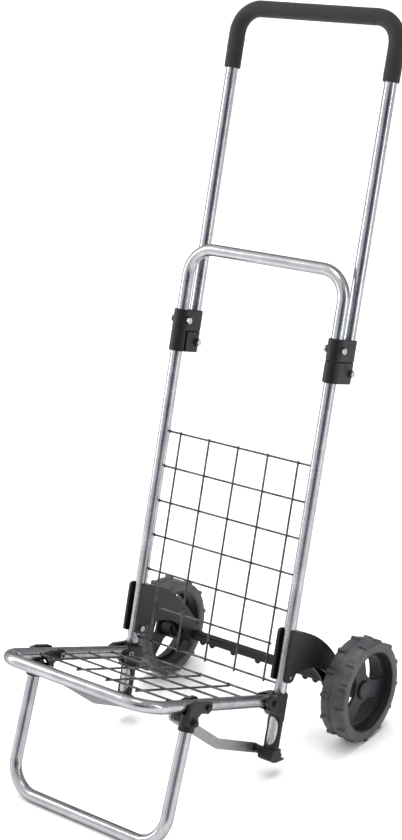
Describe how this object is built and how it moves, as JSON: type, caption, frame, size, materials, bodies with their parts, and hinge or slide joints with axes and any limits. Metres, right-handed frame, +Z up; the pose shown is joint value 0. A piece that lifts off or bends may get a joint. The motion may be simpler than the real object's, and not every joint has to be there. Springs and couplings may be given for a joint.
{
  "type": "hand truck",
  "caption": "Folding hand truck: leaning tube frame, pull-out handle, wire load platform, support leg with folding braces and lugged wheels.",
  "frame": {"origin": "on the ground, under the middle of the truck as it stands open with its handle pulled out", "axes": "+X to the right wheel, +Y from the load side to the wheels, +Z up"},
  "size_m": [0.4152, 0.6316, 1.0648],
  "materials": {
    "polished_tube": "polished, with long soft draw lines",
    "plated_wire": "plated wire, dull grey",
    "tyre_tread": "moulded grey-black tread",
    "wheel_plastic": "moulded dark grey plastic",
    "foam_grip": "closed-cell foam sleeve",
    "flat_steel": "rolled flat steel",
    "bright_fastener": "bright zinc",
    "nylon_bush": "natural nylon",
    "black_moulding": "satin black moulding"
  },
  "bodies": {
    "frame": {"main_frame_tube": "polished_tube", "back_mesh": "plated_wire", "upper_clamp_left": "black_moulding", "upper_clamp_right": "black_moulding", "clamp_bolts": "bright_fastener", "clamp_nuts": "bright_fastener", "foot_left": "black_moulding", "foot_right": "black_moulding", "hinge_bolts": "black_moulding", "hinge_nuts": "bright_fastener", "brace_pivots": "bright_fastener", "wheel_bracket_left": "black_moulding", "wheel_bracket_right": "black_moulding", "bracket_bolts": "bright_fastener", "axle_beam": "black_moulding", "axle_rod": "bright_fastener", "axle_washers": "bright_fastener", "axle_clips": "bright_fastener"},
    "handle": {"handle_tube": "polished_tube", "handle_grip": "foam_grip", "handle_slider_left": "black_moulding", "handle_slider_right": "black_moulding", "slider_bolts": "bright_fastener", "slider_nuts": "bright_fastener"},
    "platform": {"platform_tube": "polished_tube", "platform_mesh": "plated_wire", "hinge_bush_left": "nylon_bush", "hinge_bush_right": "nylon_bush"},
    "support_leg": {"support_leg_tube": "polished_tube", "leg_fork_left": "black_moulding", "leg_fork_right": "black_moulding", "fork_bolts": "black_moulding", "fork_nuts": "bright_fastener", "leg_pins": "black_moulding"},
    "brace_left": {"brace_left": "flat_steel", "brace_stud_left": "black_moulding"},
    "brace_right": {"brace_right": "flat_steel", "brace_stud_right": "black_moulding"},
    "wheel_left": {"tyre_left": "tyre_tread", "rim_left": "wheel_plastic", "hub_bush_left": "nylon_bush", "hub_cap_left": "wheel_plastic"},
    "wheel_right": {"tyre_right": "tyre_tread", "rim_right": "wheel_plastic", "hub_bush_right": "nylon_bush", "hub_cap_right": "wheel_plastic"}
  },
  "joints": [
    {"name": "handle_slide", "type": "slide", "parent": "frame", "child": "handle", "axis": [0, -0.2907, -0.9568], "range_m": [0, 0.35]},
    {"name": "platform_fold", "type": "hinge", "parent": "frame", "child": "platform", "pos_m": [0, -0.04165, 0.12054], "axis": [-1, 0, 0], "range_deg": [0, 84.6]},
    {"name": "support_leg_fold", "type": "hinge", "parent": "platform", "child": "support_leg", "pos_m": [0, -0.19485, 0.18445], "axis": [1, 0, 0], "range_deg": [0, 90]},
    {"name": "brace_swing_left", "type": "hinge", "parent": "frame", "child": "brace_left", "pos_m": [0, -0.04372, 0.03735], "axis": [-1, 0, 0], "range_deg": [0, 57.89]},
    {"name": "brace_swing_right", "type": "hinge", "parent": "frame", "child": "brace_right", "pos_m": [0, -0.04372, 0.03735], "axis": [-1, 0, 0], "range_deg": [0, 57.89]},
    {"name": "wheel_spin_left", "type": "hinge", "parent": "frame", "child": "wheel_left", "pos_m": [0, 0.12854, 0.08], "axis": [1, 0, 0], "continuous": true},
    {"name": "wheel_spin_right", "type": "hinge", "parent": "frame", "child": "wheel_right", "pos_m": [0, 0.12854, 0.08], "axis": [1, 0, 0], "continuous": true}
  ],
  "couplings": [
    {"joint": "support_leg_fold", "follows": "platform_fold", "ratio": 1.0615},
    {"joint": "brace_swing_left", "follows": "platform_fold", "ratio": 0.68192},
    {"joint": "brace_swing_right", "follows": "platform_fold", "ratio": 0.68192}
  ]
}
